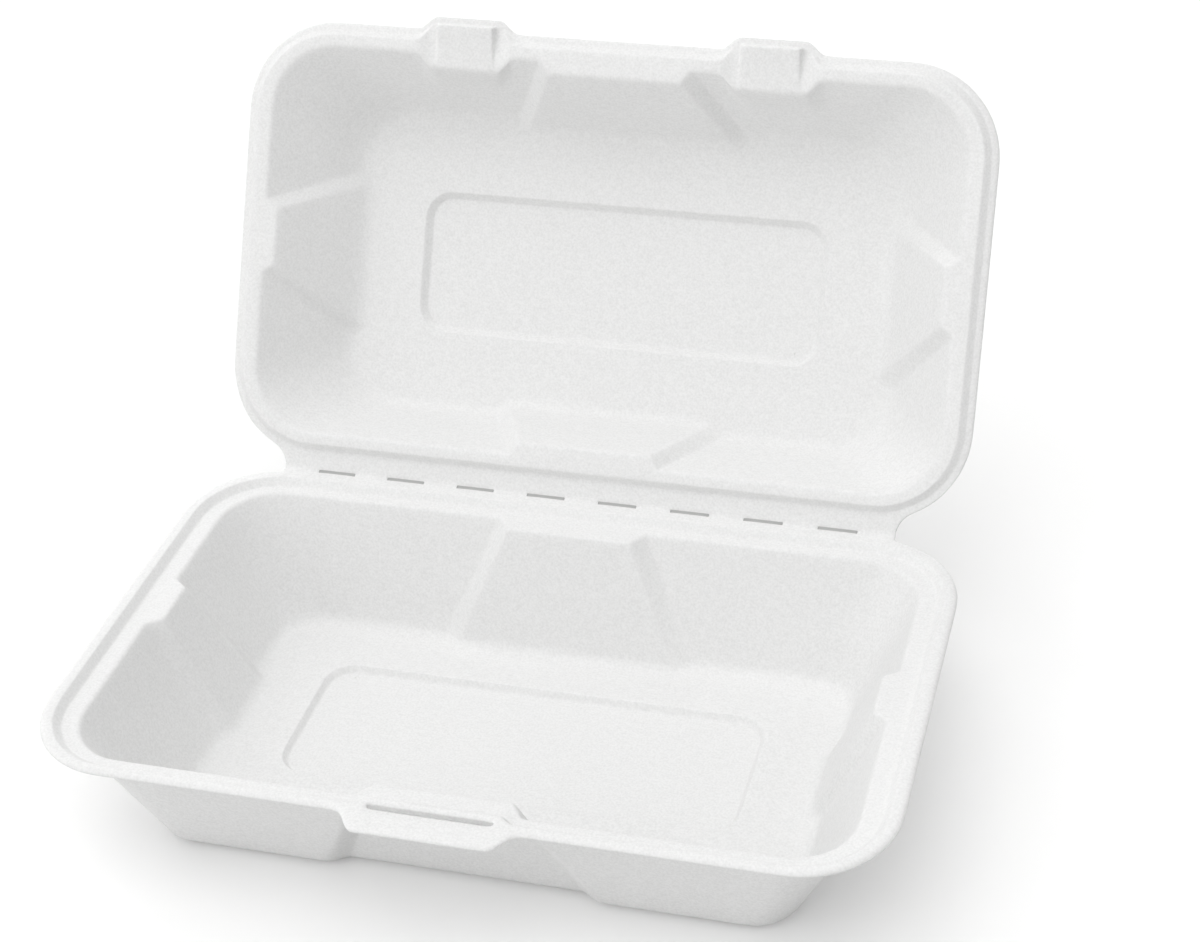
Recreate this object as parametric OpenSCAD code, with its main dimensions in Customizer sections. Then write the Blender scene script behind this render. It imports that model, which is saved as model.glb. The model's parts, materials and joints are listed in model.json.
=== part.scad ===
// One-piece moulded pulp meal box: a deep tray and a shallow lid, joined along a perforated crease.
// X runs along the crease, Y from the front tongue to the crease, Z up. The origin is the middle of the
// tray's underside, on the table. Each half is one skin, lofted from its flange edge down to its floor.

/* [Tray] */
// Length of the tray over its flange
tray_l = 232; // [210:1:260]
// Width of the tray over its flange, without the hinge strip
tray_w = 135.5; // [125:0.5:160]
// Height of the tray's flange face above the table
tray_h = 39.5; // [32:0.5:55]
// Corner radius of the tray's flange
tray_r = 26; // [22:0.5:32]
// How far the foot of an end wall lies inside its lip
tray_end_draft = 17.3; // [8:0.1:20]
// How far the foot of a long wall lies inside its lip
tray_long_draft = 11.6; // [4:0.1:14]
// Corner radius at the foot of the walls
tray_floor_r = 15; // [12:0.5:22]
// How far the tray's floor lies nearer the front than its rim does
tray_floor_shift = 2.5; // [0:0.1:4]
// Rounding between the tray's walls and its floor
tray_fillet = 4.2; // [3:0.1:8]
// Thickness of the tray's pulp
tray_t = 1.3; // [0.9:0.05:1.6]

/* [Lid] */
// How far the lid's flange edge lies inside the tray's
lid_inset = 2.75; // [2:0.25:3.5]
// Depth of the lid, from its flange face to the outside of its top
lid_h = 26; // [18:0.5:34]
// Corner radius of the lid's flange
lid_r = 27; // [22:0.5:32]
// How far the far edge of an end wall lies inside its lip
lid_end_draft = 16.6; // [10:0.1:22]
// How far the far edge of a long wall lies inside its lip
lid_long_draft = 12.3; // [6:0.1:16]
// Corner radius at the top of the lid's walls
lid_floor_r = 18; // [14:0.5:26]
// Rounding between the lid's walls and its top
lid_fillet = 8; // [5:0.5:10]
// How far the far side of the lid lies nearer the crease than its rim does
lid_shift = 3.6; // [0:0.1:6]
// Thickness of the lid's pulp
lid_t = 0.7; // [0.6:0.05:1]
// Angle between the tray's and the lid's flanges as the box stands open
open_angle = 120; // [100:1:125]

/* [Rim] */
// Width of the tray's flat outer flange at the ends
flange_w = 4; // [3.5:0.1:6]
// Width of the tray's flat outer flange along the long sides
long_flange_w = 3; // [2.5:0.1:5]
// Run of the sloping step between flange and ledge
step_run = 1.9; // [1.2:0.1:2.4]
// Depth of the tray's ledge below its flange
step_d = 2.2; // [1.6:0.1:3]
// Width of the tray's ledge, which the lid's ridge lies on, at the ends
ledge_w = 5.6; // [4.5:0.1:7]
// Width of the tray's ledge along the long sides
long_ledge_w = 3.5; // [3:0.1:6]
// Width of the top of the lid's ridge
ridge_w = 4.5; // [3:0.1:5.5]
// Rounding between ledge and wall
lip_r = 2; // [1.6:0.1:2.6]

/* [Fit] */
// Sideways clearance between the lid's ridge and the tray's step
nest_gap = 1; // [0.6:0.1:1.4]
// Clearance between the ridge and the ledge it lies on, beyond the gap between the flanges
seat_gap = 0.2; // [0.1:0.05:0.5]
// Gap between the two flanges when shut, and across the crease
fold_gap = 0.3; // [0.2:0.05:0.5]

/* [Wall panels] */
// Width of a long wall's panel at the rim
panel_rim_w = 44; // [36:1:52]
// Width of the tray's long panels at the floor
tray_panel_floor_w = 74; // [60:1:80]
// Width of the lid's long panels at the floor
lid_panel_floor_w = 71; // [58:1:78]
// Width of an end wall's panel at the rim
end_panel_rim_w = 21; // [16:1:26]
// Width of the tray's end panels at the floor
tray_end_panel_floor_w = 30; // [24:1:40]
// How far the tray's end panels lie from the middle, towards the crease
tray_end_panel_shift = 3.8; // [0:0.1:5]
// Distance from the lid's end panels to the corners at the floor
lid_end_panel_gap = 1.5; // [0.5:0.1:5]
// How far the tray's long panels stand in at the rim
tray_panel_d = 5; // [3:0.1:7]
// How far the tray's end panels stand in at the rim
tray_end_panel_d = 4.1; // [3:0.1:6]
// How far the lid's panels stand in at the rim
lid_panel_d = 3.8; // [3:0.1:5]
// How far the panels still stand in at the floor
panel_floor_d = 3; // [2:0.1:4]
// Run of a panel's sloping edges at the rim
panel_rim_edge = 3.5; // [2.5:0.1:5]
// Run of a panel's sloping edges at the floor
panel_floor_edge = 5.5; // [3:0.1:7]

/* [Label fields] */
// Length of the label field sunk into the tray's floor
tray_label_l = 132; // [100:1:136]
// Width of the tray's label field
tray_label_w = 46.5; // [36:0.5:50]
// How far the tray's label field lies from the middle, towards the crease
tray_label_shift = 2; // [0:0.1:4]
// Length of the label field sunk into the lid
lid_label_l = 126; // [100:1:136]
// Width of the lid's label field
lid_label_w = 43; // [36:0.5:48]
// Corner radius of a label field
label_r = 8.5; // [5:0.5:12]
// Depth of a label field
label_d = 1; // [0.6:0.1:1.4]
// Run of a label field's sloping edge
label_edge = 2.4; // [1.2:0.1:3]

/* [Front tongue] */
// Width of the tongue at its front edge
tongue_w = 36; // [28:1:44]
// How far the tongue stands out from the flange
tongue_out = 6.6; // [4:0.1:8]
// Run of the tongue's sloping ends
tongue_ramp = 6; // [4:0.5:8]
// How far the step turns inwards behind the tongue
tongue_step_in = 2.5; // [1.5:0.1:3.5]
// Length of the slit in the tongue
tongue_slit_l = 33.5; // [26:0.5:34]
// Width of the slit in the tongue
tongue_slit_w = 1.6; // [1:0.1:2.4]

/* [Closure pads] */
// Distance between the middles of the two pads
pad_pitch = 92; // [86:1:100]
// Width of a pad
pad_w = 18; // [15:0.2:21]
// Height of a pad at its outer end
pad_h = 3; // [2:0.1:3.5]
// Length of a pad, from its outer to its inner end
pad_l = 13.6; // [12:0.1:15]
// How far the flange bulges out round a pad
pad_bulge = 3.4; // [2.5:0.1:4]
// Run of the bulge's ends and of the ridge's sloping ends beside a pad
pad_ramp = 5.5; // [4:0.5:6]

/* [Crease] */
// Width of the tray's strip between its flange and the crease
crease_strip = 1.5; // [1:0.1:3]
// How far the crease runs past the straight part of the tray's back edge, at each end
crease_past = 3.8; // [2:0.1:6]
// Number of slits along the crease
slit_n = 8; // [6:1:10]
// Plain length of crease outside the last slit, at each end
slit_end = 10.7; // [6:0.1:16]
// Length of a slit
slit_l = 12.2; // [8:0.2:14]
// Width of a slit
slit_w = 0.8; // [0.5:0.1:1]

/* [Hidden] */
pulp = "#f4f3ef";

// Points in a plain corner, in a hinge corner's notch, in a feature's sloping edge and in a rounded bend
corner_n = 11;
notch_n = 4;
edge_n = 3;
bend_n = 3;
// Cuts run this far past the faces they go through
over = 1;

// The lid's outline follows the tray's, and its ridge nests inside the tray's step
lid_l = tray_l - 2 * lid_inset;
lid_w = tray_w - 2 * lid_inset;
lid_strip = crease_strip + lid_inset;
lid_flange_w = flange_w - lid_inset + nest_gap;
lid_long_flange_w = long_flange_w - lid_inset + nest_gap;
ridge_h = step_d - seat_gap;
crease_y = tray_w / 2 + crease_strip;
axis_z = tray_h + fold_gap / 2;
crease_l = tray_l - 2 * (tray_r - crease_past);
slit_pitch = (crease_l - 2 * slit_end - slit_l) / (slit_n - 1);

// How far each line of the rims lies inside its flange edge, at the ends and along the long sides
tray_step_in = flange_w + step_run;
tray_wall_in = tray_step_in + ledge_w;
tray_long_step_in = long_flange_w + step_run;
tray_long_wall_in = tray_long_step_in + long_ledge_w;
lid_step_in = lid_flange_w + step_run;
lid_wall_in = lid_step_in + ridge_w;
lid_long_step_in = lid_long_flange_w + step_run;
lid_long_wall_in = lid_long_step_in + ridge_w;
// Half sizes of the two floors, where the walls would meet them
tray_floor_x = tray_l / 2 - tray_wall_in - tray_end_draft;
tray_floor_y = tray_w / 2 - tray_long_wall_in - tray_long_draft;
lid_floor_x = lid_l / 2 - lid_wall_in - lid_end_draft;
lid_floor_y = lid_w / 2 - lid_long_wall_in - lid_long_draft;
lid_end_panel_floor_w = 2 * (lid_floor_y - lid_floor_r - lid_end_panel_gap);
// The pads lie on saddles that cut the ridge, this far above the flange face
saddle_h = 0.4;
// A pad's outer wall starts this far inside the bulge's edge, and has this run
pad_margin = 1;
pad_wall_run = 0.4;
pad_in = pad_l - pad_bulge + pad_margin;
// Share of the wall's depth at which the saddle has run out into it
saddle_end = 0.4;
// Drop of the lip's rounding, and rise and run of the floors' fillets
lip_drop = lip_r * 0.8;
tray_fillet_leg = tray_fillet * 0.72;
lid_fillet_leg = lid_fillet * 0.72;
// Width of the flat foot inside the floor's fillet
foot_w = 3;
// Half width that a pad's columns take up at the rim, and share of their room that they take lower down
pad_half = pad_w / 2 + pad_margin + pad_ramp;
pad_room = 0.8;

function lerp(a, b, t) = a + (b - a) * t;
function ease(t) = t * t * (3 - 2 * t);

// Side points are [along, inwards, up]. A trapezoid stands in by d between its two sloping edges.
function trapezoid(root, tip, d) = concat(
    [for (k = [0:edge_n]) [-lerp(root, tip, k / edge_n), d * ease(k / edge_n), 0]],
    [for (k = [edge_n:-1:0]) [lerp(root, tip, k / edge_n), d * ease(k / edge_n), 0]]);

// A panel at depth share t of its wall: rim and floor widths, and how far it stands in
function panel(rim_w, floor_w, rim_d, floor_d, t) =
    let (half = lerp(rim_w, floor_w, t) / 2)
    trapezoid(half, half - lerp(panel_rim_edge, panel_floor_edge, t), lerp(rim_d, floor_d, t));

// Side points moved along their side, and a ring moved towards the crease
function along(points, d) = [for (p = points) [p[0] + d, p[1], p[2]]];
function towards_crease(points, d) = [for (p = points) [p[0], p[1] + d, p[2]]];

// Side points on the four sides of an outline with half sizes ax and ay, in turn from +X round to -Y
function on_side(q, p, ax, ay, z) =
    q == 0 ? [ax - p[1], p[0], z + p[2]] :
    q == 1 ? [-p[0], ay - p[1], z + p[2]] :
    q == 2 ? [p[1] - ax, -p[0], z + p[2]] :
    [p[0], p[1] - ay, z + p[2]];

// A rounded corner that starts at the angle 90 * q
function corner(q, n, ax, ay, r, z) =
    let (sx = q == 0 || q == 3 ? 1 : -1, sy = q < 2 ? 1 : -1)
    [for (k = [0:n - 1]) let (a = 90 * (q + k / (n - 1)))
        [sx * (ax - r) + r * cos(a), sy * (ay - r) + r * sin(a), z]];

// A hinge corner: the corner's arc, then the notch that leads to the end of a crease at the height y_end
function hinge_corner(n, ax, ay, r, z, y_end) =
    let (across = crease_l / 2 - ax + r,
         rise = y_end - ay + r,
         notch_r = (across * across + rise * rise - r * r) / (2 * (r - across)),
         meet = atan2(rise, across + notch_r))
    concat(
        [for (k = [0:n - 1]) let (a = meet * k / (n - 1))
            [ax - r + r * cos(a), ay - r + r * sin(a), z]],
        [for (k = [1:notch_n]) let (a = 180 + meet * (1 - k / notch_n))
            [crease_l / 2 + notch_r + notch_r * cos(a), y_end + notch_r * sin(a), z]]);

function mirrored(points) = [for (k = [len(points) - 1:-1:0]) [-points[k][0], points[k][1], points[k][2]]];

// A closed ring: the four sides' points joined by corners of radius r
function ring(ax, ay, r, z, sides) = concat(
    [for (p = sides[0]) on_side(0, p, ax, ay, z)], corner(0, corner_n + notch_n, ax, ay, r, z),
    [for (p = sides[1]) on_side(1, p, ax, ay, z)], corner(1, corner_n + notch_n, ax, ay, r, z),
    [for (p = sides[2]) on_side(2, p, ax, ay, z)], corner(2, corner_n, ax, ay, r, z),
    [for (p = sides[3]) on_side(3, p, ax, ay, z)], corner(3, corner_n, ax, ay, r, z));

// The flange edge: the same ring, carried out to the crease between the two notches
function edge_ring(ax, ay, r, z, sides, strip) =
    let (bend = hinge_corner(corner_n, ax, ay, r, z, ay + strip))
    concat(
        [for (p = sides[0]) on_side(0, p, ax, ay, z)], bend,
        [for (p = sides[1]) on_side(1, p, ax, ay + strip, z)], mirrored(bend),
        [for (p = sides[2]) on_side(2, p, ax, ay, z)], corner(2, corner_n, ax, ay, r, z),
        [for (p = sides[3]) on_side(3, p, ax, ay, z)], corner(3, corner_n, ax, ay, r, z));

// Unit normal of a lofted skin, upwards on a flat flange
function normal(rings, i, j) =
    let (n = len(rings[0]), last = len(rings) - 1,
         round_step = rings[i][(j + 1) % n] - rings[i][(j + n - 1) % n],
         inward_step = rings[min(i + 1, last)][j] - rings[max(i - 1, 0)][j],
         v = cross(round_step, inward_step))
    i == 0 || i == last ? [0, 0, 1] : v / norm(v);

// A closed shell of thickness t below the skin that the rings span, closed in the middle of the last one
module shell(rings, t, middle_y) {
    n = len(rings[0]);
    m = len(rings);
    middle_z = rings[m - 1][0][2];
    upper = [for (i = [0:m - 1]) for (j = [0:n - 1]) rings[i][j]];
    lower = [for (i = [0:m - 1]) for (j = [0:n - 1]) rings[i][j] - t * normal(rings, i, j)];
    below = n * m;
    top_middle = 2 * n * m;
    low_middle = top_middle + 1;
    inner = (m - 1) * n;
    faces = [for (j = [0:n - 1]) let (k = (j + 1) % n) each concat(
        [for (i = [0:m - 2]) let (a = i * n + j, b = a + n, c = (i + 1) * n + k, d = i * n + k) each [
            [a, b, c], [a, c, d],
            [below + a, below + c, below + b], [below + a, below + d, below + c]]],
        [[j, k, below + k], [j, below + k, below + j],
         [inner + j, top_middle, inner + k],
         [below + inner + j, below + inner + k, low_middle]])];
    middle = [[0, middle_y, middle_z], [0, middle_y, middle_z - t]];
    polyhedron(concat(upper, lower, middle), faces, convexity = 6);
}

// Side points moved back onto the plain outline
function flat(sides) = [for (side = sides) [for (p = side) [p[0], 0, 0]]];

// Plain side points round a label field, within its straight sides
function label_sides(l, w) =
    let (short = trapezoid(w / 4, w / 8, 0), long = trapezoid(l / 4, l / 8, 0))
    [short, long, short, long];

// The tray's four panels at depth share t of the walls
function tray_panels(t) =
    let (long = panel(panel_rim_w, tray_panel_floor_w, tray_panel_d, panel_floor_d, t),
         short = panel(end_panel_rim_w, tray_end_panel_floor_w, tray_end_panel_d, panel_floor_d, t),
         shift = tray_end_panel_shift + tray_floor_shift * t)
    [along(short, shift), long, along(short, -shift), long];

// A ring on the tray's rim, moved in from the flange edge at the ends and along the long sides
function tray_rim(in, long_in, z, front) =
    let (plain = flat(tray_panels(0)))
    ring(tray_l / 2 - in, tray_w / 2 - long_in, tray_r - (in + long_in) / 2, z,
         [plain[0], plain[1], plain[2], front]);

// A ring at depth share t of the tray's walls, moved in from the wall's own line
function tray_wall(t, in, z) =
    towards_crease(
        ring(lerp(tray_l / 2 - tray_wall_in, tray_floor_x, t) - in,
             lerp(tray_w / 2 - tray_long_wall_in, tray_floor_y, t) - in,
             lerp(tray_r - (tray_wall_in + tray_long_wall_in) / 2, tray_floor_r, t) - in, z,
             tray_panels(t)),
        -tray_floor_shift * t);

// A ring round the tray's label field, moved in from its edge
function tray_label(in, z) =
    towards_crease(
        ring(tray_label_l / 2 - in, tray_label_w / 2 - in, label_r - in, z,
             label_sides(tray_label_l, tray_label_w)),
        tray_label_shift);

function tray_rings() =
    let (plain = flat(tray_panels(0)),
         tongue = trapezoid(tongue_w / 2 + tongue_ramp, tongue_w / 2, -tongue_out),
         step_back = trapezoid(tongue_w / 2 + tongue_step_in, tongue_w / 2, tongue_step_in),
         ledge_z = tray_h - step_d,
         wall_d = ledge_z - tray_t)
    concat(
        [edge_ring(tray_l / 2, tray_w / 2, tray_r, tray_h,
            [plain[0], plain[1], plain[2], tongue], crease_strip - fold_gap / 2),
         tray_rim(flange_w, long_flange_w, tray_h, step_back),
         tray_rim(tray_step_in, tray_long_step_in, ledge_z, step_back)],
        [for (k = [0:bend_n]) let (s = k / bend_n, down = lip_drop * s * s)
            tray_wall(down / wall_d, -lip_r * (1 - s) * (1 - s), ledge_z - down)],
        [for (k = [0:bend_n]) let (s = k / bend_n, up = tray_fillet_leg * (1 - s) * (1 - s))
            tray_wall(1 - up / wall_d, tray_fillet_leg * s * s, tray_t + up)],
        [tray_wall(1, tray_fillet_leg + foot_w, tray_t),
         tray_label(0, tray_t + label_d),
         tray_label(label_edge, tray_t)]);

// Columns across half a pad: [distance from its middle, share of the bulge, 1 on the pad itself]
pad_columns = concat(
    [for (k = [0:edge_n]) [pad_half - pad_ramp * k / edge_n, ease(k / edge_n), 0]],
    [[pad_w / 2, 1, 1]]);

// One pad's points, moved [inwards, up] beside the pad and on it
function pad_side(middle, spread, beside, on_pad) =
    let (half = [for (c = pad_columns) let (v = c[2] == 1 ? on_pad : beside * c[1])
                    [c[0] * spread, v[0], v[1]]])
    concat([for (h = half) [middle - h[0], h[1], h[2]]],
           [for (k = [len(half) - 1:-1:0]) [middle + half[k][0], half[k][1], half[k][2]]]);

// The lid's front side: the panel's points between those of the two pads
function lid_front(panel_points, middle, spread, beside = [0, 0], on_pad = [0, 0]) = concat(
    pad_side(-middle, spread, beside, on_pad), panel_points, pad_side(middle, spread, beside, on_pad));

function lid_panels(t) =
    let (long = panel(panel_rim_w, lid_panel_floor_w, lid_panel_d, panel_floor_d, t),
         short = panel(end_panel_rim_w, lid_end_panel_floor_w, lid_panel_d, panel_floor_d, t))
    [short, long, short, long];

// A ring on the lid's rim, moved in from the flange edge at the ends and along the long sides
function lid_rim(in, long_in, z, beside, on_pad) =
    let (plain = flat(lid_panels(0)))
    ring(lid_l / 2 - in, lid_w / 2 - long_in, lid_r - (in + long_in) / 2, z,
         [plain[0], plain[1], plain[2], lid_front(plain[3], pad_pitch / 2, 1, beside, on_pad)]);

// A ring at depth share t of the lid's walls. Towards the floor the pads' columns draw together.
function lid_wall(t, in, z, saddle = [0, 0]) =
    let (sides = lid_panels(t),
         room = lid_floor_x - lid_floor_r - lid_panel_floor_w / 2,
         middle = lerp(pad_pitch / 2, (lid_panel_floor_w + room) / 2, t),
         spread = lerp(1, pad_room * room / (2 * pad_half), t))
    towards_crease(
        ring(lerp(lid_l / 2 - lid_wall_in, lid_floor_x, t) - in,
             lerp(lid_w / 2 - lid_long_wall_in, lid_floor_y, t) - in,
             lerp(lid_r - (lid_wall_in + lid_long_wall_in) / 2, lid_floor_r, t) - in, z,
             [sides[0], sides[1], sides[2], lid_front(sides[3], middle, spread, saddle, saddle)]),
        lid_shift * t);

// A ring round the lid's label field, moved in from its edge
function lid_label(in, z) =
    let (sides = label_sides(lid_label_l, lid_label_w),
         room = lid_label_l / 4 - label_r,
         front = lid_front(sides[3], (lid_label_l / 2 + room) / 2, pad_room * room / (2 * pad_half)))
    towards_crease(
        ring(lid_label_l / 2 - in, lid_label_w / 2 - in, label_r - in, z,
             [sides[0], sides[1], sides[2], front]),
        lid_shift);

function lid_rings() =
    let (plain = flat(lid_panels(0)),
         top_z = lid_t - lid_h + label_d,
         wall_d = ridge_h - top_z,
         bulge = [-pad_bulge, 0],
         pad_foot = [pad_margin - pad_bulge - lid_long_flange_w, 0],
         pad_top = [pad_margin - pad_bulge + pad_wall_run - lid_long_step_in, -ridge_h],
         saddle = [pad_in - lid_long_wall_in + lip_r, saddle_h - ridge_h])
    concat(
        [edge_ring(lid_l / 2, lid_w / 2, lid_r, 0,
            [plain[0], plain[1], plain[2], lid_front(plain[3], pad_pitch / 2, 1, bulge, bulge)],
            lid_strip - fold_gap / 2),
         lid_rim(lid_flange_w, lid_long_flange_w, 0, pad_foot, pad_foot),
         lid_rim(lid_step_in, lid_long_step_in, ridge_h, pad_top, pad_top + [0, pad_h])],
        [for (k = [0:bend_n]) let (s = k / bend_n, down = lip_drop * s * s)
            lid_wall(down / wall_d, -lip_r * (1 - s) * (1 - s), ridge_h - down, saddle)],
        [lid_wall(saddle_end, 0, lerp(ridge_h, top_z, saddle_end))],
        [for (k = [0:bend_n]) let (s = k / bend_n, up = lid_fillet_leg * (1 - s) * (1 - s))
            lid_wall(1 - up / wall_d, lid_fillet_leg * s * s, top_z + up)],
        [lid_label(0, top_z),
         lid_label(label_edge, top_z - label_d)]);

// The row of slits along the crease, centred on it
module crease_slits() {
    for (k = [0:slit_n - 1])
        translate([(k - (slit_n - 1) / 2) * slit_pitch - slit_l / 2, -slit_w / 2, -tray_t - over])
            cube([slit_l, slit_w, tray_t + 2 * over]);
}

// The long slit in the tongue, with round ends
module tongue_slit() {
    run = tongue_slit_l - tongue_slit_w;
    translate([-run / 2, -tongue_slit_w / 2, 0])
        cube([run, tongue_slit_w, tray_t + 2 * over]);
    for (side = [-1, 1])
        translate([side * run / 2, 0, 0])
            cylinder(d = tongue_slit_w, h = tray_t + 2 * over, $fn = 24);
}

module tray() {
    color(pulp)
        difference() {
            shell(tray_rings(), tray_t, tray_label_shift);
            translate([0, crease_y, tray_h])
                crease_slits();
            translate([0, -tray_w / 2 + long_flange_w, tray_h - tray_t - over])
                tongue_slit();
        }
}

// The lid is drawn lying flat with its crease on the axis, then turned up to the angle at which it stands
module lid() {
    color(pulp)
        translate([0, crease_y, axis_z])
            rotate([180 - open_angle, 0, 0])
                translate([0, 0, -fold_gap / 2])
                    difference() {
                        translate([0, lid_strip + lid_w / 2, 0])
                            rotate([0, 0, 180])
                                shell(lid_rings(), lid_t, lid_shift);
                        crease_slits();
                    }
}

tray();
lid();
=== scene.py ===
import json
import math

import bmesh
import bpy
from mathutils import Matrix, Vector


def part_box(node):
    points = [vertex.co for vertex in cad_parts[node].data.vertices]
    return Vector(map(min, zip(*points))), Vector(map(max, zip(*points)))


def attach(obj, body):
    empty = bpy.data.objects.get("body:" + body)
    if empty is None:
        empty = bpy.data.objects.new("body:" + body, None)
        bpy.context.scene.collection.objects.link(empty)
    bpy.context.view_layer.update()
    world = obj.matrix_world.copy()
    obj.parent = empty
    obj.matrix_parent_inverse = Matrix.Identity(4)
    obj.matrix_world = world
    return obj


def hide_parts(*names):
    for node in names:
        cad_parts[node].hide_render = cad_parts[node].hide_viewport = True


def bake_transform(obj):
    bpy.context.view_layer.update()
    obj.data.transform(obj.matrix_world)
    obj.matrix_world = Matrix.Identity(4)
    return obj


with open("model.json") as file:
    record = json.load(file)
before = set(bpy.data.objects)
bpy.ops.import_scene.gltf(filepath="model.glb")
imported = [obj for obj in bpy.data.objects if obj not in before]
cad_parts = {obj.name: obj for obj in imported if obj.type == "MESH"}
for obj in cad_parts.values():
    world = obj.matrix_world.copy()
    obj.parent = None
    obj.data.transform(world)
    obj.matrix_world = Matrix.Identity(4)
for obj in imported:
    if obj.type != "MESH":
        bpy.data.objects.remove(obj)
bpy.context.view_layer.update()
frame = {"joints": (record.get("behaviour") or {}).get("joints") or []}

mm = 0.001  # the shells are drawn in millimetres and scaled to metres once
hair = 1e-6  # two places that are closer than this count as one
hinge = frame["joints"][0]
creaseY, axisZ = hinge["pos_m"][1] / mm, hinge["pos_m"][2] / mm
lidTilt = math.radians(-hinge["range_deg"][0])  # at its lower limit the lid lies level with the rim
trayLow, trayHigh = (Vector(corner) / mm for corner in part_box("tray"))


def lerp(a, b, t):
    return a + (b - a) * t


def ease(t):
    t = min(max(t, 0.0), 1.0)
    return t * t * (3 - 2 * t)


def spread(keys, counts):  # points between the keys, so many steps to each stretch
    points = [keys[0]]
    for start, end, count in zip(keys, keys[1:], counts):
        points += [lerp(start, end, step / count) for step in range(1, count + 1)]
    return points


def bothWays(half):  # from the left end to the right end, the outermost first
    return [-value for value in half] + half[::-1]


def twice(half, middle):  # step counts that read the same from both ends
    return half + [middle] + half[::-1]


# a corner after each side: 14 steps, and beside the crease 10 on the round and 4 in the notch
bend = dict(steps=14, round=10, notchShare=0.868)
evenShares = [step / bend["steps"] for step in range(1, bend["steps"])]
backShares = spread([0, bend["notchShare"], 1], [bend["round"], bend["steps"] - bend["round"]])[1:-1]
cornerShares = [backShares, [1 - share for share in backShares[::-1]], evenShares, evenShares]


def notchPoints(halfX, halfY, radius, height, creaseHalf, strip):
    # the rim's round corner runs into the end of the folding strip through a small hollow
    across, rise = creaseHalf - halfX + radius, strip + radius
    hollow = (across ** 2 + rise ** 2 - radius ** 2) / (2 * (radius - across))
    meet = math.atan2(rise, across + hollow)
    centre = Vector((halfX - radius, halfY - radius, height))
    pocket = Vector((creaseHalf + hollow, halfY + strip, height))
    points = []
    for share in spread([0, 1], [bend["round"]])[1:]:
        angle = meet * share
        points.append(centre + radius * Vector((math.cos(angle), math.sin(angle), 0)))
    for share in spread([0, 1], [bend["steps"] - bend["round"]])[1:-1]:
        angle = math.pi + meet * (1 - share)
        points.append(pocket + hollow * Vector((math.cos(angle), math.sin(angle), 0)))
    return points


def ring(halfX, halfY, radius, height, sides, notch=None, centreY=0.0):
    # one closed row, anticlockwise from the right-hand side: each side is (along, inward, up) columns
    points = []
    for q, side in enumerate(sides):
        turn = Matrix.Rotation(math.pi / 2 * q, 3, "Z")
        across, reach = (halfX, halfY) if q % 2 == 0 else (halfY, halfX)
        ends = (side[0][0], side[-1][0]) if notch and q == 1 else (radius - reach, reach - radius)
        side = [(ends[0], *side[0][1:])] + side[1:-1] + [(ends[1], *side[-1][1:])]
        points += [turn @ Vector((across - inward, along, height + up)) for along, inward, up in side]
        if notch and q < 2:
            corner = notchPoints(halfX, halfY, radius, height, *notch)
            points += corner if q == 0 else [Vector((-p.x, p.y, p.z)) for p in reversed(corner)]
            continue
        for share in cornerShares[q]:
            angle = math.pi / 2 * share
            middle = Vector((across - radius, reach - radius, height))
            points.append(turn @ (middle + radius * Vector((math.cos(angle), math.sin(angle), 0))))
    return [point + Vector((0, centreY, 0)) for point in points]


def panelColumns(end, panel, counts):
    # a wall's columns at one level: the pushed-in panel has a sloping facet at each edge
    half, run, push, shift, soft = (panel[key] for key in ("half", "run", "push", "shift", "soft"))
    inner = [half + soft, half, half - run, half - run - soft]
    keys = [-end] + [shift - place for place in inner] + [shift + place for place in inner[::-1]] + [end]
    pushes = [0, 0, 0, push, push, push, push, 0, 0, 0]
    return list(zip(spread(keys, counts), spread(pushes, counts)))


def wallSide(rimColumns, floorColumns, t):
    return [(lerp(a[0], b[0], t), lerp(a[1], b[1], t), 0.0) for a, b in zip(rimColumns, floorColumns)]


def flatSide(columns):
    return [(column[0], 0.0, 0.0) for column in columns]


def evenSide(half, count):
    return [(along, 0.0, 0.0) for along in spread([-half, half], [count])]


# the row of slits along the fold; with its steps it has as many columns as a back wall
slits = dict(number=8, pitch=22.0, length=11.6, depth=-0.05, tick=0.2, tickAt=0.35, fullAt=0.8,
             endSteps=3, tabSteps=2, slitSteps=2)


def slitMiddles():
    first = -(slits["number"] - 1) / 2 * slits["pitch"]
    return [first + k * slits["pitch"] for k in range(slits["number"])]


def slitColumns(creaseHalf, depths):
    # along the crease, tab and slit in turn; depths are the tab's, the slit's end's and the slit's
    tab, tick, slit = depths
    half, tickAt, fullAt = slits["length"] / 2, slits["tickAt"], slits["fullAt"]
    keys, values, counts = [-creaseHalf], [tab], []
    for k, middle in enumerate(slitMiddles()):
        keys += [middle - half, middle - half + tickAt, middle - half + fullAt]
        keys += [middle + half - fullAt, middle + half - tickAt, middle + half]
        values += [tab, tick, slit, slit, tick, tab]
        counts += [slits["endSteps"] if k == 0 else slits["tabSteps"], 1, 1, slits["slitSteps"], 1, 1]
    keys, values, counts = keys + [creaseHalf], values + [tab], counts + [slits["endSteps"]]
    return [(along, inward, 0.0) for along, inward in zip(spread(keys, counts), spread(values, counts))]


def only(kind, geom):  # the verts, edges or faces among what an operator made
    return [item for item in geom if isinstance(item, kind)]


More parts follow.
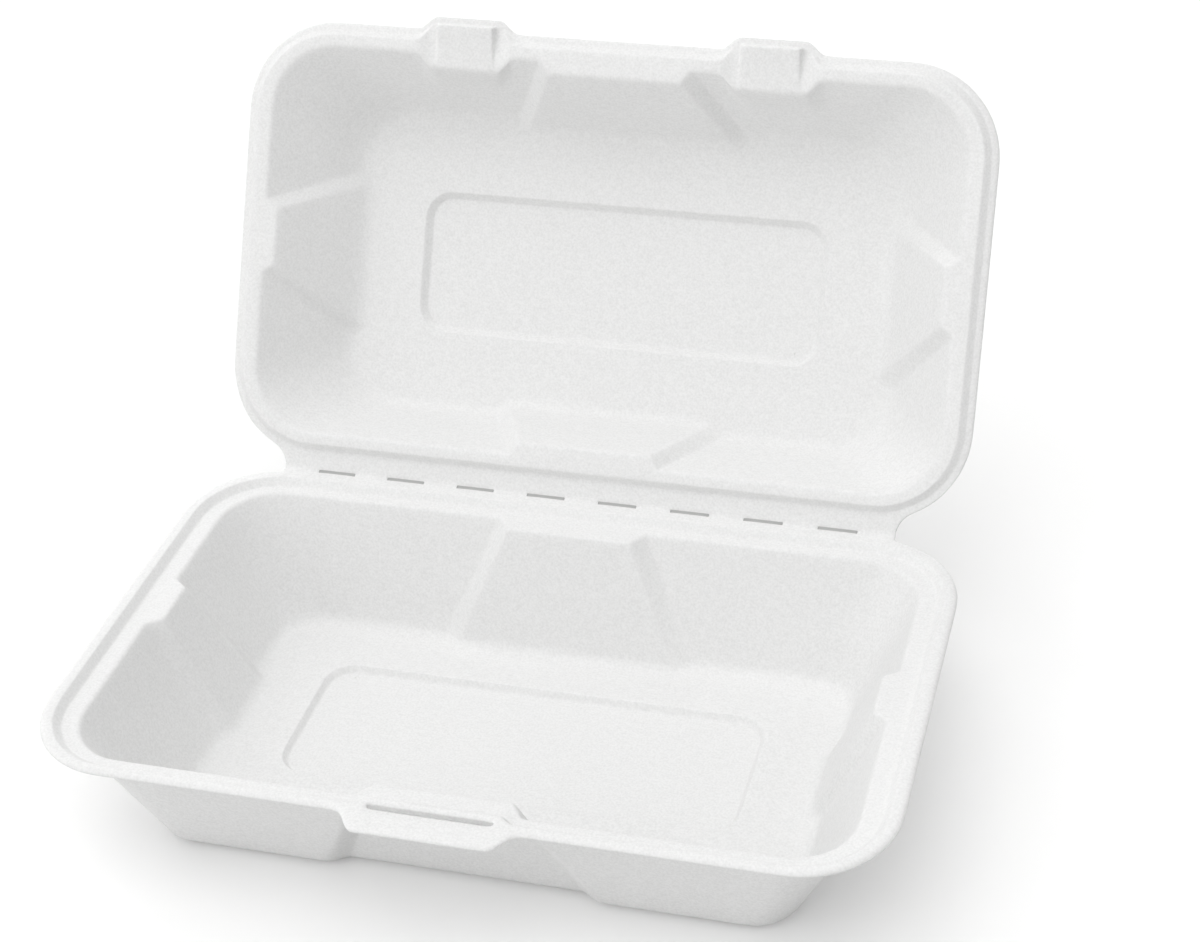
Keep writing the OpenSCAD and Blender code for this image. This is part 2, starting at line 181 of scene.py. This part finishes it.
def loft(name, rings):
    # the first row is a circle pulled onto the rim's edge, and each further row is extruded from it
    bm = bmesh.new()
    edge = bmesh.ops.create_circle(bm, segments=len(rings[0]), radius=1)["verts"]
    for vert, point in zip(edge, rings[0]):
        vert.co = point
    rows = [edge]
    loop = list(bm.edges)
    for points in rings[1:]:
        grown = bmesh.ops.extrude_edge_only(bm, edges=loop)["geom"]
        fresh = set(only(bmesh.types.BMVert, grown))
        row = []
        for vert, point in zip(rows[-1], points):
            partner = next(e.other_vert(vert) for e in vert.link_edges if e.other_vert(vert) in fresh)
            partner.co = point
            row.append(partner)
        rows.append(row)
        loop = only(bmesh.types.BMEdge, grown)
    field = bmesh.ops.contextual_create(bm, geom=loop)["faces"]
    floor = bmesh.ops.triangulate(bm, faces=field, ngon_method="BEAUTY")["faces"]
    bmesh.ops.recalc_face_normals(bm, faces=bm.faces)
    if floor[0].normal.z < 0:
        bmesh.ops.reverse_faces(bm, faces=bm.faces)
    print(name, len(rings), "rows of", len(edge), "columns")
    return bm, rows


def facesBetween(rows, first, columns):  # the faces from one row to the next over these columns
    found = []
    for a, b in zip(columns, columns[1:]):
        corners = [rows[first][a], rows[first][b], rows[first + 1][a], rows[first + 1][b]]
        shared = set(corners[0].link_faces)
        for vert in corners[1:]:
            shared &= set(vert.link_faces)
        found += list(shared)
    return found


def finishShell(bm, name, thick, place, body, edge=None):
    bmesh.ops.transform(bm, matrix=place, verts=bm.verts)
    bmesh.ops.scale(bm, vec=Vector((mm, mm, mm)), verts=bm.verts)
    mesh = bpy.data.meshes.new(name)
    bm.to_mesh(mesh)
    bm.free()
    mesh.polygons.foreach_set("use_smooth", [True] * len(mesh.polygons))
    piece = bpy.data.objects.new(name, mesh)
    bpy.context.scene.collection.objects.link(piece)
    wall = piece.modifiers.new("pulp wall", "SOLIDIFY")
    wall.thickness = thick * mm
    wall.offset = -1
    wall.use_rim = True
    soft = piece.modifiers.new("moulded softness", "SUBSURF")
    soft.levels = soft.render_levels = 1
    mesh.materials.append(pulpMaterial())
    # the edge material, if given, colours the rim faces dark as painted shade
    if edge:
        mesh.materials.append(edge)
        wall.material_offset_rim = 1
    if body:
        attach(piece, body)
        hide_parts(body)
    print(name, len(mesh.polygons), "faces before the wall gets its thickness")
    return piece


# pressed sugar-cane pulp: near white, matt, with fine grain and faint longer fibres
pulp = dict(light=(0.8, 0.8, 0.797), dark=(0.708, 0.708, 0.704), roughness=0.88, specular=0.25,
            grainScale=1500.0, fibreScale=420.0, fibreStretch=(1, 1.8, 1.4), fibreTurn=(0.3, 0.2, 0.6),
            fibreShare=0.25, detail=2.0, noiseRoughness=0.6, darkAt=0.3, lightAt=0.62,
            bump=0.3, bumpHeight=0.00012)


def pulpMaterial():
    if "moulded pulp" in bpy.data.materials:
        return bpy.data.materials["moulded pulp"]
    material = bpy.data.materials.new("moulded pulp")
    material.use_nodes = True
    nodes, links = material.node_tree.nodes, material.node_tree.links
    shader = nodes["Principled BSDF"]
    shader.inputs["Roughness"].default_value = pulp["roughness"]
    shader.inputs["Specular IOR Level"].default_value = pulp["specular"]
    place = nodes.new("ShaderNodeTexCoord")

    def noise(scale, stretch=(1, 1, 1), turn=(0, 0, 0)):
        mapping = nodes.new("ShaderNodeMapping")
        mapping.inputs["Scale"].default_value = stretch
        mapping.inputs["Rotation"].default_value = turn
        texture = nodes.new("ShaderNodeTexNoise")
        texture.inputs["Scale"].default_value = scale
        texture.inputs["Detail"].default_value = pulp["detail"]
        texture.inputs["Roughness"].default_value = pulp["noiseRoughness"]
        links.new(place.outputs["Object"], mapping.inputs["Vector"])
        links.new(mapping.outputs["Vector"], texture.inputs["Vector"])
        return texture.outputs["Fac"]

    def mixed(a, b, share):
        mix = nodes.new("ShaderNodeMix")
        mix.inputs["Factor"].default_value = share
        links.new(a, mix.inputs["A"])
        links.new(b, mix.inputs["B"])
        return mix.outputs["Result"]

    grain = noise(pulp["grainScale"])
    fibres = noise(pulp["fibreScale"], pulp["fibreStretch"], pulp["fibreTurn"])
    surface = mixed(grain, fibres, pulp["fibreShare"])
    ramp = nodes.new("ShaderNodeValToRGB")
    for stop, shade in zip(ramp.color_ramp.elements, ("dark", "light")):
        stop.position = pulp[shade + "At"]
        stop.color = (*pulp[shade], 1)
    bump = nodes.new("ShaderNodeBump")
    bump.inputs["Strength"].default_value = pulp["bump"]
    bump.inputs["Distance"].default_value = pulp["bumpHeight"]
    links.new(surface, ramp.inputs["Fac"])
    links.new(ramp.outputs["Color"], shader.inputs["Base Color"])
    links.new(surface, bump.inputs["Height"])
    links.new(bump.outputs["Normal"], shader.inputs["Normal"])
    return material


# painted shade: the lid's thin cut edge and the slits' grooves are coloured a darker grey to stand in for the
# shade that falls on them
edgeShade = dict(colour=(0.42, 0.42, 0.415), roughness=0.95, specular=0.1)


def paintedEdgeShadeMaterial():
    if "painted edge shade" in bpy.data.materials:
        return bpy.data.materials["painted edge shade"]
    material = bpy.data.materials.new("painted edge shade")
    material.use_nodes = True
    shader = material.node_tree.nodes["Principled BSDF"]
    shader.inputs["Base Color"].default_value = (*edgeShade["colour"], 1)
    shader.inputs["Roughness"].default_value = edgeShade["roughness"]
    shader.inputs["Specular IOR Level"].default_value = edgeShade["specular"]
    return material


# what tray and lid share: the rim with its rounded step, the levels of a wall and the label field
rim = dict(lipRound=1.1, lipDrop=0.95, foldGap=0.3, creaseHalf=93.8, droopFrom=8.0, droopBlend=12.0,
           step=[(-0.08, 0.0), (0.03, 0.03), (0.5, 0.5), (0.97, 0.97), (1.08, 1.0)])
levels = dict(lip=(0.0, 0.35, 0.7, 1.0), wall=(0.12, 0.35, 0.6, 0.85), fillet=(0.0, 0.2, 0.4, 0.6, 0.8, 1.0))
label = dict(radius=8.5, soft=0.2, outerRow=1.0, innerRow=2.0)
sideSteps = dict(end=twice([4, 1, 2, 1], 4), back=twice([22, 1, 2, 1], 16))  # columns of a wall

# tray: flange, step down to a ledge, sloping walls with a pushed-in panel in each, label field
tray = dict(length=trayHigh.x - trayLow.x, width=135.5, height=trayHigh.z, corner=26.0, thick=1.3,
            flange=(4.0, 3.0), stepRun=1.9, stepDrop=2.2, ledge=(5.25, 3.15),
            floorX=87.2, floorY=47.75, floorCorner=11.0, floorShift=-2.5, filletLeg=3.0, foot=3.0,
            labelL=132.0, labelW=46.5, labelShift=2.0, labelEdge=1.2, labelDepth=1.9,
            edgeRows=(0.0, 0.9), droop=(1.0, 0.15), frontSteps=twice([13, 1, 2, 1], 12))
trayLong = dict(rim=dict(half=22.0, run=3.5, push=5.0, shift=0.0, soft=0.8),
                floor=dict(half=38.5, run=5.0, push=3.0, shift=0.0, soft=0.8))
trayEnd = dict(rim=dict(half=10.3, run=2.8, push=4.1, shift=3.8, soft=0.7),
               floor=dict(half=15.0, run=4.0, push=3.0, shift=6.3, soft=1.0))
tongue = dict(half=18.0, root=24.2, out=6.5, stepHalf=20.5, stepIn=2.5, steps=twice([12, 4, 1], 12),
              slitHalf=16.75, slitEase=1.2, slitFrom=2.5, slitTo=3.4,
              slitRows=(("slitFrom", (2.0, 1.5)), ("slitTo", (2.7, 1.9))))


def bendEdge(row, droop, halfY, flatShare):
    # the flange's edge is rolled over a little, but not at the crease or where flatShare says
    for point in row:
        clear = ease((halfY - rim["droopFrom"] - point.y) / rim["droopBlend"])
        point.z -= droop * clear * (1 - flatShare(point.x))


def wallColumns(s, end, long, counts):
    # the columns of the four walls, at the rim and at the floor
    rimColumns, floorColumns = [], []
    for q, (panel, count) in enumerate(zip((end, long, end, long), counts)):
        rimEnd = (s["width"] if q % 2 == 0 else s["length"]) / 2 - s["corner"]
        floorEnd = (s["floorY"] if q % 2 == 0 else s["floorX"]) - s["floorCorner"]
        lean = 1 if q < 2 else -1  # both end panels stand towards the crease
        for columns, level, reach in ((rimColumns, "rim", rimEnd), (floorColumns, "floor", floorEnd)):
            leaning = {**panel[level], "shift": lean * panel[level]["shift"]}
            columns.append(panelColumns(reach, leaning, count))
    return rimColumns, floorColumns


def wallRow(s, wallIn, heights, t, inset, sides):
    # one level of the sloping walls, from the rim's outline at t = 0 to the floor's at t = 1
    return ring(lerp(s["length"] / 2 - wallIn[0], s["floorX"], t) - inset,
                lerp(s["width"] / 2 - wallIn[1], s["floorY"], t) - inset,
                lerp(s["corner"] - sum(wallIn) / 2, s["floorCorner"], t) - inset,
                lerp(*heights, t), sides, centreY=s["floorShift"] * t)


def trayRings():
    s = tray
    halfX, halfY, radius, top = s["length"] / 2, s["width"] / 2, s["corner"], s["height"]
    wallIn = [flange + s["stepRun"] + ledge for flange, ledge in zip(s["flange"], s["ledge"])]
    footTop, floorTop = s["thick"], s["thick"] + s["labelDepth"]
    strip = creaseY - rim["foldGap"] / 2 - halfY
    counts = [sideSteps["end"], sideSteps["back"], sideSteps["end"], s["frontSteps"]]
    rimColumns, floorColumns = wallColumns(s, trayEnd, trayLong, counts)
    frontKeys = [halfX - radius, tongue["root"], tongue["half"], tongue["slitHalf"]]
    front = spread(bothWays(frontKeys), tongue["steps"])

    def shareOf(x, root, tip):
        return ease((root - abs(x)) / (root - tip))

    def frontRow(out=0.0, inward=0.0, stepIn=0.0):
        return [(x, -out * shareOf(x, tongue["root"], tongue["half"])
                 + inward * shareOf(x, tongue["half"] + tongue["slitEase"], tongue["slitHalf"])
                 + stepIn * shareOf(x, tongue["stepHalf"], tongue["half"]), 0.0) for x in front]

    def rimRow(insets, drop, frontSide, backSide=None, notch=None):
        sides = [flatSide(columns) for columns in rimColumns]
        sides[3] = frontSide
        if backSide:
            sides[1] = backSide
        return ring(halfX - insets[0], halfY - insets[1], radius - sum(insets) / 2, top - drop, sides, notch)

    def backEdge(inset):
        tab = -strip
        depths = (tab, tab + slits["tick"] * (inset == 0), tab + slits["depth"] * (inset == 0))
        return slitColumns(rim["creaseHalf"] - inset, depths)

    rows = []
    for inset, droop in zip(s["edgeRows"], s["droop"]):
        notch = (rim["creaseHalf"] - inset, strip)
        rows.append(rimRow((inset, inset), 0, frontRow(out=tongue["out"]), backEdge(inset), notch))
        bendEdge(rows[-1], droop, halfY, lambda x: shareOf(x, tongue["root"], tongue["half"]))
    for place, insets in tongue["slitRows"]:
        rows.append(rimRow(insets, 0, frontRow(inward=tongue[place] - insets[1])))
    for run, drop in rim["step"]:
        stepFoot = [flange + s["stepRun"] * run for flange in s["flange"]]
        rows.append(rimRow(stepFoot, s["stepDrop"] * drop, frontRow(stepIn=tongue["stepIn"])))

    lipSides = [wallSide(a, b, 0.0) for a, b in zip(rimColumns, floorColumns)]
    ledgeSides = [[(x, push / 2, up) for x, push, up in side] for side in lipSides]
    ledgeSides[3] = [((a[0] + b[0]) / 2, (a[1] + b[1]) / 2, 0.0)
                     for a, b in zip(frontRow(stepIn=tongue["stepIn"]), lipSides[3])]
    ledge = [(foot + wall - rim["lipRound"]) / 2 for foot, wall in zip(stepFoot, wallIn)]
    ledgeTop = top - s["stepDrop"]
    rows.append(ring(halfX - ledge[0], halfY - ledge[1], radius - sum(ledge) / 2, ledgeTop, ledgeSides))

    for t, inset in wallSteps(s, ledgeTop - footTop) + [(1.0, s["filletLeg"] + s["foot"])]:
        sides = [wallSide(a, b, t) for a, b in zip(rimColumns, floorColumns)]
        rows.append(wallRow(s, wallIn, (ledgeTop, footTop), t, inset, sides))
    rows += labelRows(s, counts, floorTop)
    front0 = sum(len(columns) + bend["steps"] - 1 for columns in rimColumns[:3])
    slit = [front0 + k for k, x in enumerate(front) if abs(x) <= tongue["slitHalf"] + hair]
    return rows, slit


def wallSteps(s, drop):
    # (depth share, inset) over the lip, down a wall and round the fillet at its foot
    lip, curve = rim["lipDrop"] / drop, s["filletLeg"] / drop
    steps = [(share ** 2 * lip, -rim["lipRound"] * (1 - share) ** 2) for share in levels["lip"]]
    steps += [(lerp(lip, 1 - curve, share), 0.0) for share in levels["wall"]]
    return steps + [(1 - (1 - share) ** 2 * curve, share ** 2 * s["filletLeg"]) for share in levels["fillet"]]


def labelRows(s, counts, floorTop):
    rows = []
    edge, soft = s["labelEdge"], label["soft"]
    for inset, drop in ((-soft - label["outerRow"], 0), (-soft, 0), (0, 0), (edge / 2, 0.5), (edge, 1),
                        (edge + soft, 1), (edge + soft + label["innerRow"], 1)):
        sides = []
        for q, count in enumerate(counts):
            half = (s["labelW"] if q % 2 == 0 else s["labelL"]) / 2 - label["radius"]
            sides.append(evenSide(half, sum(count)))
        rows.append(ring(s["labelL"] / 2 - inset, s["labelW"] / 2 - inset, label["radius"] - inset,
                         floorTop - drop * s["labelDepth"], sides, centreY=s["labelShift"]))
    return rows


rings, slitColumnsAt = trayRings()
bm, rows = loft("trayShell", rings)
tongueSlit = facesBetween(rows, len(tray["edgeRows"]), slitColumnsAt)
bmesh.ops.delete(bm, geom=tongueSlit, context="FACES")
finishShell(bm, "trayShell", tray["thick"], Matrix(), "tray")

# lid: the same build, shallower, with a raised ridge inside its flange and two wedge pads at the front
lid = dict(length=226.5, width=130.0, depth=26.0, corner=27.0, thick=0.7,
           strip=4.25,  # from the crease to the edge of the lid's own flange
           flange=(2.25, 2.0), stepRun=1.9, ridge=2.0, ridgeW=(4.2, 3.45),
           floorX=85.0, floorY=45.05, floorCorner=18.0, floorShift=3.6, filletLeg=3.2,
           labelL=126.0, labelW=43.0, labelShift=3.6, labelEdge=1.8, labelDepth=2.2,
           edgeRows=([0.0, 0.0], [0.6, 0.4]), droop=(1.1, 0.3),
           frontSteps=dict(corner=[4], pad=twice([5, 1, 1, 1], 6), gap=[2], facet=[1, 2, 1], middle=10))
lidLong = dict(rim=dict(half=22.6, run=2.8, push=3.8, shift=0.0, soft=0.5),
               floor=dict(half=35.6, run=3.6, push=3.0, shift=0.0, soft=0.7))
lidEnd = dict(rim=dict(half=10.9, run=2.6, push=3.8, shift=0.0, soft=0.5),
              floor=dict(half=25.3, run=3.4, push=3.0, shift=0.0, soft=0.7))
pad = dict(place=45.8, half=8.5, wall=0.4, crown=0.6, margin=1.0, ramp=5.5, height=3.0, bulge=3.4, saddle=0.4,
           inner=11.3, lipShare=0.3, fade=0.4, hold=1.2,
           # its rows inwards: six places from the bulge's edge and two from the rim's, and the saddle's lift
           fromEdge=(0.0, 0.6, 1.5, 1.8, 2.2, 2.7), fromRim=(0.2, 5.0),
           lift=(0.0, 0.0, 0.0, 0.02, 0.05, 0.08, 0.14, 0.26),
           # the pad's own rise: four rows at its foot, three so far below its top, a share of it in the last
           foot=(0.0, 0.0, 0.0, 0.05), below=(0.25, 0.1, 0.45), last=0.42)


def lidRings():
    s = lid
    halfX, halfY, radius = s["length"] / 2, s["width"] / 2, s["corner"]
    wallIn = [flange + s["stepRun"] + top for flange, top in zip(s["flange"], s["ridgeW"])]
    floorTop = s["thick"] + s["labelDepth"] - s["depth"]
    strip = s["strip"] - rim["foldGap"] / 2
    padFoot = pad["half"] + pad["wall"]
    padHalf = [padFoot + pad["margin"] + pad["ramp"], padFoot + pad["margin"], padFoot, pad["half"],
               pad["half"] - pad["crown"]]
    steps = s["frontSteps"]
    toPanel = steps["corner"] + steps["pad"] + steps["gap"]  # from the corner over a pad to the front panel
    frontCounts = twice(toPanel + steps["facet"], steps["middle"])
    panelCounts = twice([sum(toPanel)] + steps["facet"], steps["middle"])
    counts = [sideSteps["end"], sideSteps["back"], sideSteps["end"], panelCounts]
    rimColumns, floorColumns = wallColumns(s, lidEnd, lidLong, counts)
    panel = lidLong["rim"]
    frontHalf = [halfX - radius] + [pad["place"] + place for place in padHalf]
    frontHalf += [pad["place"] - place for place in padHalf[::-1]]
    frontHalf += [panel["half"] + panel["soft"], panel["half"], panel["half"] - panel["run"],
                  panel["half"] - panel["run"] - panel["soft"]]
    front = spread(bothWays(frontHalf), frontCounts)
    pushes = [column[1] for column in rimColumns[3]]
    rimColumns[3] = list(zip(front, pushes))

    def saddleShare(x):
        away = abs(abs(x) - pad["place"])
        return ease((padHalf[0] - away) / pad["ramp"])

    def onPad(x):
        return 1.0 if abs(abs(x) - pad["place"]) <= pad["half"] + hair else 0.0

    def padRow(columns, plain, saddle, rise):
        # the ridge comes down to a saddle beside each pad, and the pad stands on the saddle
        row = []
        for x, push, up in columns:
            share = saddleShare(x)
            row.append((x, push + (saddle[0] - plain[0]) * share,
                        up + (saddle[1] - plain[1]) * share + rise * onPad(x)))
        return row

    ridge, low, padTop = s["ridge"], pad["saddle"], pad["height"]
    plainRows = [(insets, 0.0) for insets in s["edgeRows"]]
    for run, rise in rim["step"]:
        plainRows.append(([flange + s["stepRun"] * run for flange in s["flange"]], ridge * rise))
    stepFoot = plainRows[-1][0]
    ridgeMiddle = [(foot + wall - rim["lipRound"]) / 2 for foot, wall in zip(stepFoot, wallIn)]
    plainRows.append((ridgeMiddle, ridge))
    padIn = [place - pad["bulge"] for place in pad["fromEdge"]] + [*pad["fromRim"]]
    padRise = [*pad["foot"]] + [padTop - drop for drop in pad["below"]] + [(padTop - low) * pad["last"]]
    rows = []
    for k, ((insets, up), saddle, rise) in enumerate(zip(plainRows, zip(padIn, pad["lift"]), padRise)):
        share = 0.5 if insets is ridgeMiddle else 0.0  # the panels begin halfway across the ridge
        sides = [[(x, push * share, 0.0) for x, push in columns] for columns in rimColumns]
        notch = None
        if k < len(s["edgeRows"]):
            slitDepth = -strip + slits["depth"] * (k == 0)
            sides[1] = slitColumns(rim["creaseHalf"] - insets[0], (-strip, slitDepth, slitDepth))
            notch = (rim["creaseHalf"] - insets[0], strip)
        sides[3] = padRow(sides[3], (insets[1], up), saddle, rise)
        row = ring(halfX - insets[0], halfY - insets[1], radius - sum(insets) / 2, up, sides, notch)
        if k < len(s["droop"]):
            bendEdge(row, s["droop"][k], halfY, saddleShare)
        rows.append(row)

    for t, inset in wallSteps(s, ridge - floorTop):
        sides = [wallSide(a, b, t) for a, b in zip(rimColumns, floorColumns)]
        hold = min(1.0, max(0.0, pad["hold"] - t / pad["fade"]))
        shares = [saddleShare(x) * hold for x in front]
        inner = pad["inner"] - wallIn[1] + pad["lipShare"] * min(inset, 0.0)
        sides[3] = [(x, push + inner * share, up + (low - ridge) * share)
                    for (x, push, up), share in zip(sides[3], shares)]
        rows.append(wallRow(s, wallIn, (ridge, floorTop), t, inset, sides))
    return rows + labelRows(s, counts, floorTop)


lidPlace = (Matrix.Translation((0, creaseY, axisZ)) @ Matrix.Rotation(lidTilt, 4, "X")
            @ Matrix.Translation((0, lid["strip"] + lid["width"] / 2, -rim["foldGap"] / 2))
            @ Matrix.Rotation(math.pi, 4, "Z"))
bm = loft("lidShell", lidRings())[0]
# the lid's cut edge is coloured dark as painted shade
finishShell(bm, "lidShell", lid["thick"], lidPlace, "lid", paintedEdgeShadeMaterial())

# the tabs left between the slits carry the fold from the tray to the lid; each slit is a sunken strip
# coloured dark, painted shade for the shadow inside the cut
web = dict(reach=1.3, proud=0.03, thick=0.5, bow=0.5, steps=6, slitReach=0.6, slitDrop=0.12, endHold=0.12)


def foldLine(level, reach):  # across the crease, from the tray's flange up onto the lid's
    turn = Matrix.Rotation(lidTilt, 3, "X")
    tip = Vector((0, -level * math.tan(lidTilt / 2), level))
    low, high = Vector((0, -web["bow"], level)), turn @ Vector((0, web["bow"], level))
    line = [Vector((0, -reach, level)), low]
    for t in spread([0, 1], [web["steps"]])[1:]:
        line.append(low * (1 - t) ** 2 + tip * 2 * t * (1 - t) + high * t * t)
    return line + [turn @ Vector((0, reach, level))]


def foldingTabs():
    bm = bmesh.new()
    ends = [middle + side * slits["length"] / 2 for middle in slitMiddles() for side in (-1, 1)]
    ends = [-rim["creaseHalf"]] + ends + [rim["creaseHalf"]]
    top = -rim["foldGap"] / 2 + web["proud"]
    lines = [foldLine(top, web["reach"]), foldLine(top - web["slitDrop"], web["slitReach"])]
    for k, (left, right) in enumerate(zip(ends, ends[1:])):
        line = lines[k % 2]  # tab and slit in turn
        verts = [bm.verts.new(Vector((x, creaseY, axisZ)) + line[0]) for x in (left, right)]
        edges = [bm.edges.new(verts)]
        for a, b in zip(line, line[1:]):
            grown = bmesh.ops.extrude_edge_only(bm, edges=edges)["geom"]
            bmesh.ops.translate(bm, vec=b - a, verts=only(bmesh.types.BMVert, grown))
            edges = only(bmesh.types.BMEdge, grown)
            for face in only(bmesh.types.BMFace, grown):
                # the slit strips take the second slot, the dark painted-shade material
                face.material_index = k % 2
    for x in ends:  # a cut close to each end keeps it square when the piece is softened
        for side in (-web["endHold"], web["endHold"]):
            everything = bm.verts[:] + bm.edges[:] + bm.faces[:]
            bmesh.ops.bisect_plane(bm, geom=everything, plane_co=Vector((x + side, 0, 0)),
                                   plane_no=Vector((1, 0, 0)))
    bmesh.ops.recalc_face_normals(bm, faces=bm.faces)
    for face in bm.faces:
        if face.normal.z < 0:
            face.normal_flip()
    return bm


# the tabs' cut edges and the slit strips are coloured dark as painted shade
tabs = finishShell(foldingTabs(), "foldingTabs", web["thick"], Matrix(), None, paintedEdgeShadeMaterial())
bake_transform(tabs)

# a pale table under wide lights from above, with lower ones all round, strongest behind and on the left
studio = dict(floorSize=6.0, floorDrop=0.0003, floorColour=(0.78, 0.78, 0.777), surround=0.02, glow=0.15,
              lampSpread=60.0)
lamps = [dict(name="overhead", toward=(0.0, 0.0, 1.0), strength=0.88),
         dict(name="high left", toward=(-0.35, -0.35, 0.87), strength=0.67),
         dict(name="high right", toward=(0.35, -0.35, 0.87), strength=0.68),
         dict(name="back", toward=(0.0, 0.98, 0.21), strength=1.13),
         dict(name="back left", toward=(-0.58, 0.58, 0.57), strength=1.24),
         dict(name="front left", toward=(-0.69, -0.69, 0.21), strength=1.13),
         dict(name="front", toward=(0.0, -0.98, 0.21), strength=0.55),
         dict(name="right", toward=(0.82, 0.0, 0.57), strength=0.30),
         dict(name="low right", toward=(0.98, 0.0, 0.21), strength=0.26)]


def makeStudio():
    bpy.ops.mesh.primitive_plane_add(size=studio["floorSize"], location=(0, 0, -studio["floorDrop"]))
    floor = bpy.context.object
    floor.name = "table"
    paint = bpy.data.materials.new("pale table")
    paint.use_nodes = True
    nodes, links = paint.node_tree.nodes, paint.node_tree.links
    shader = nodes["Principled BSDF"]
    shader.inputs["Base Color"].default_value = (*studio["floorColour"], 1)
    shader.inputs["Roughness"].default_value = 1.0
    shader.inputs["Specular IOR Level"].default_value = 0.0
    shader.inputs["Emission Color"].default_value = (1, 1, 1, 1)
    sight = nodes.new("ShaderNodeLightPath")
    glow = nodes.new("ShaderNodeMath")  # the table is lifted to white for the camera alone
    glow.operation = "MULTIPLY"
    glow.inputs[1].default_value = studio["glow"]
    links.new(sight.outputs["Is Camera Ray"], glow.inputs[0])
    links.new(glow.outputs[0], shader.inputs["Emission Strength"])
    floor.data.materials.append(paint)
    for each in lamps:
        light = bpy.data.lights.new(each["name"] + " lamp", "SUN")
        light.energy = each["strength"]
        light.angle = math.radians(studio["lampSpread"])
        lamp = bpy.data.objects.new(each["name"] + " lamp", light)
        lamp.rotation_euler = Vector(each["toward"]).to_track_quat("Z", "Y").to_euler()
        bpy.context.scene.collection.objects.link(lamp)
    world = bpy.data.worlds.new("white surround")
    bpy.context.scene.world = world
    world.use_nodes = True
    nodes, links = world.node_tree.nodes, world.node_tree.links
    rays = nodes.new("ShaderNodeLightPath")
    seen = rays.outputs["Is Camera Ray"]
    for kind in ("Is Glossy Ray", "Is Transmission Ray"):
        either = nodes.new("ShaderNodeMath")
        either.operation = "MAXIMUM"
        links.new(seen, either.inputs[0])
        links.new(rays.outputs[kind], either.inputs[1])
        seen = either.outputs[0]
    strength = nodes.new("ShaderNodeMapRange")
    strength.inputs["To Min"].default_value = studio["surround"]
    strength.inputs["To Max"].default_value = 1.0
    links.new(seen, strength.inputs["Value"])
    nodes["Background"].inputs["Color"].default_value = (1, 1, 1, 1)
    links.new(strength.outputs["Result"], nodes["Background"].inputs["Strength"])
    print("table,", len(lamps), "lamps and surround placed")


makeStudio()

# the photograph's point of view, found from the rim, the crease and the label fields
view = dict(eye=(179.7, -443.7, 391.9), azimuth=14.95, elevation=35.27, roll=-2.53, lens=67.94, sensor=36,
            shiftX=-0.1, clipStart=0.01)
camera = bpy.data.objects.new("camera", bpy.data.cameras.new("camera"))
camera.data.sensor_width = view["sensor"]
camera.data.lens = view["lens"]
camera.data.shift_x = view["shiftX"]
camera.data.clip_start = view["clipStart"]
aim = (Matrix.Rotation(math.radians(view["azimuth"]), 4, "Z")
       @ Matrix.Rotation(math.radians(90 - view["elevation"]), 4, "X")
       @ Matrix.Rotation(math.radians(view["roll"]), 4, "Z"))
eye = Vector(view["eye"]) + Vector((0, 0, tray["height"]))
camera.matrix_world = Matrix.Translation(eye * mm) @ aim
bpy.context.scene.collection.objects.link(camera)
bpy.context.scene.camera = camera
bpy.context.scene.view_settings.view_transform = "Standard"
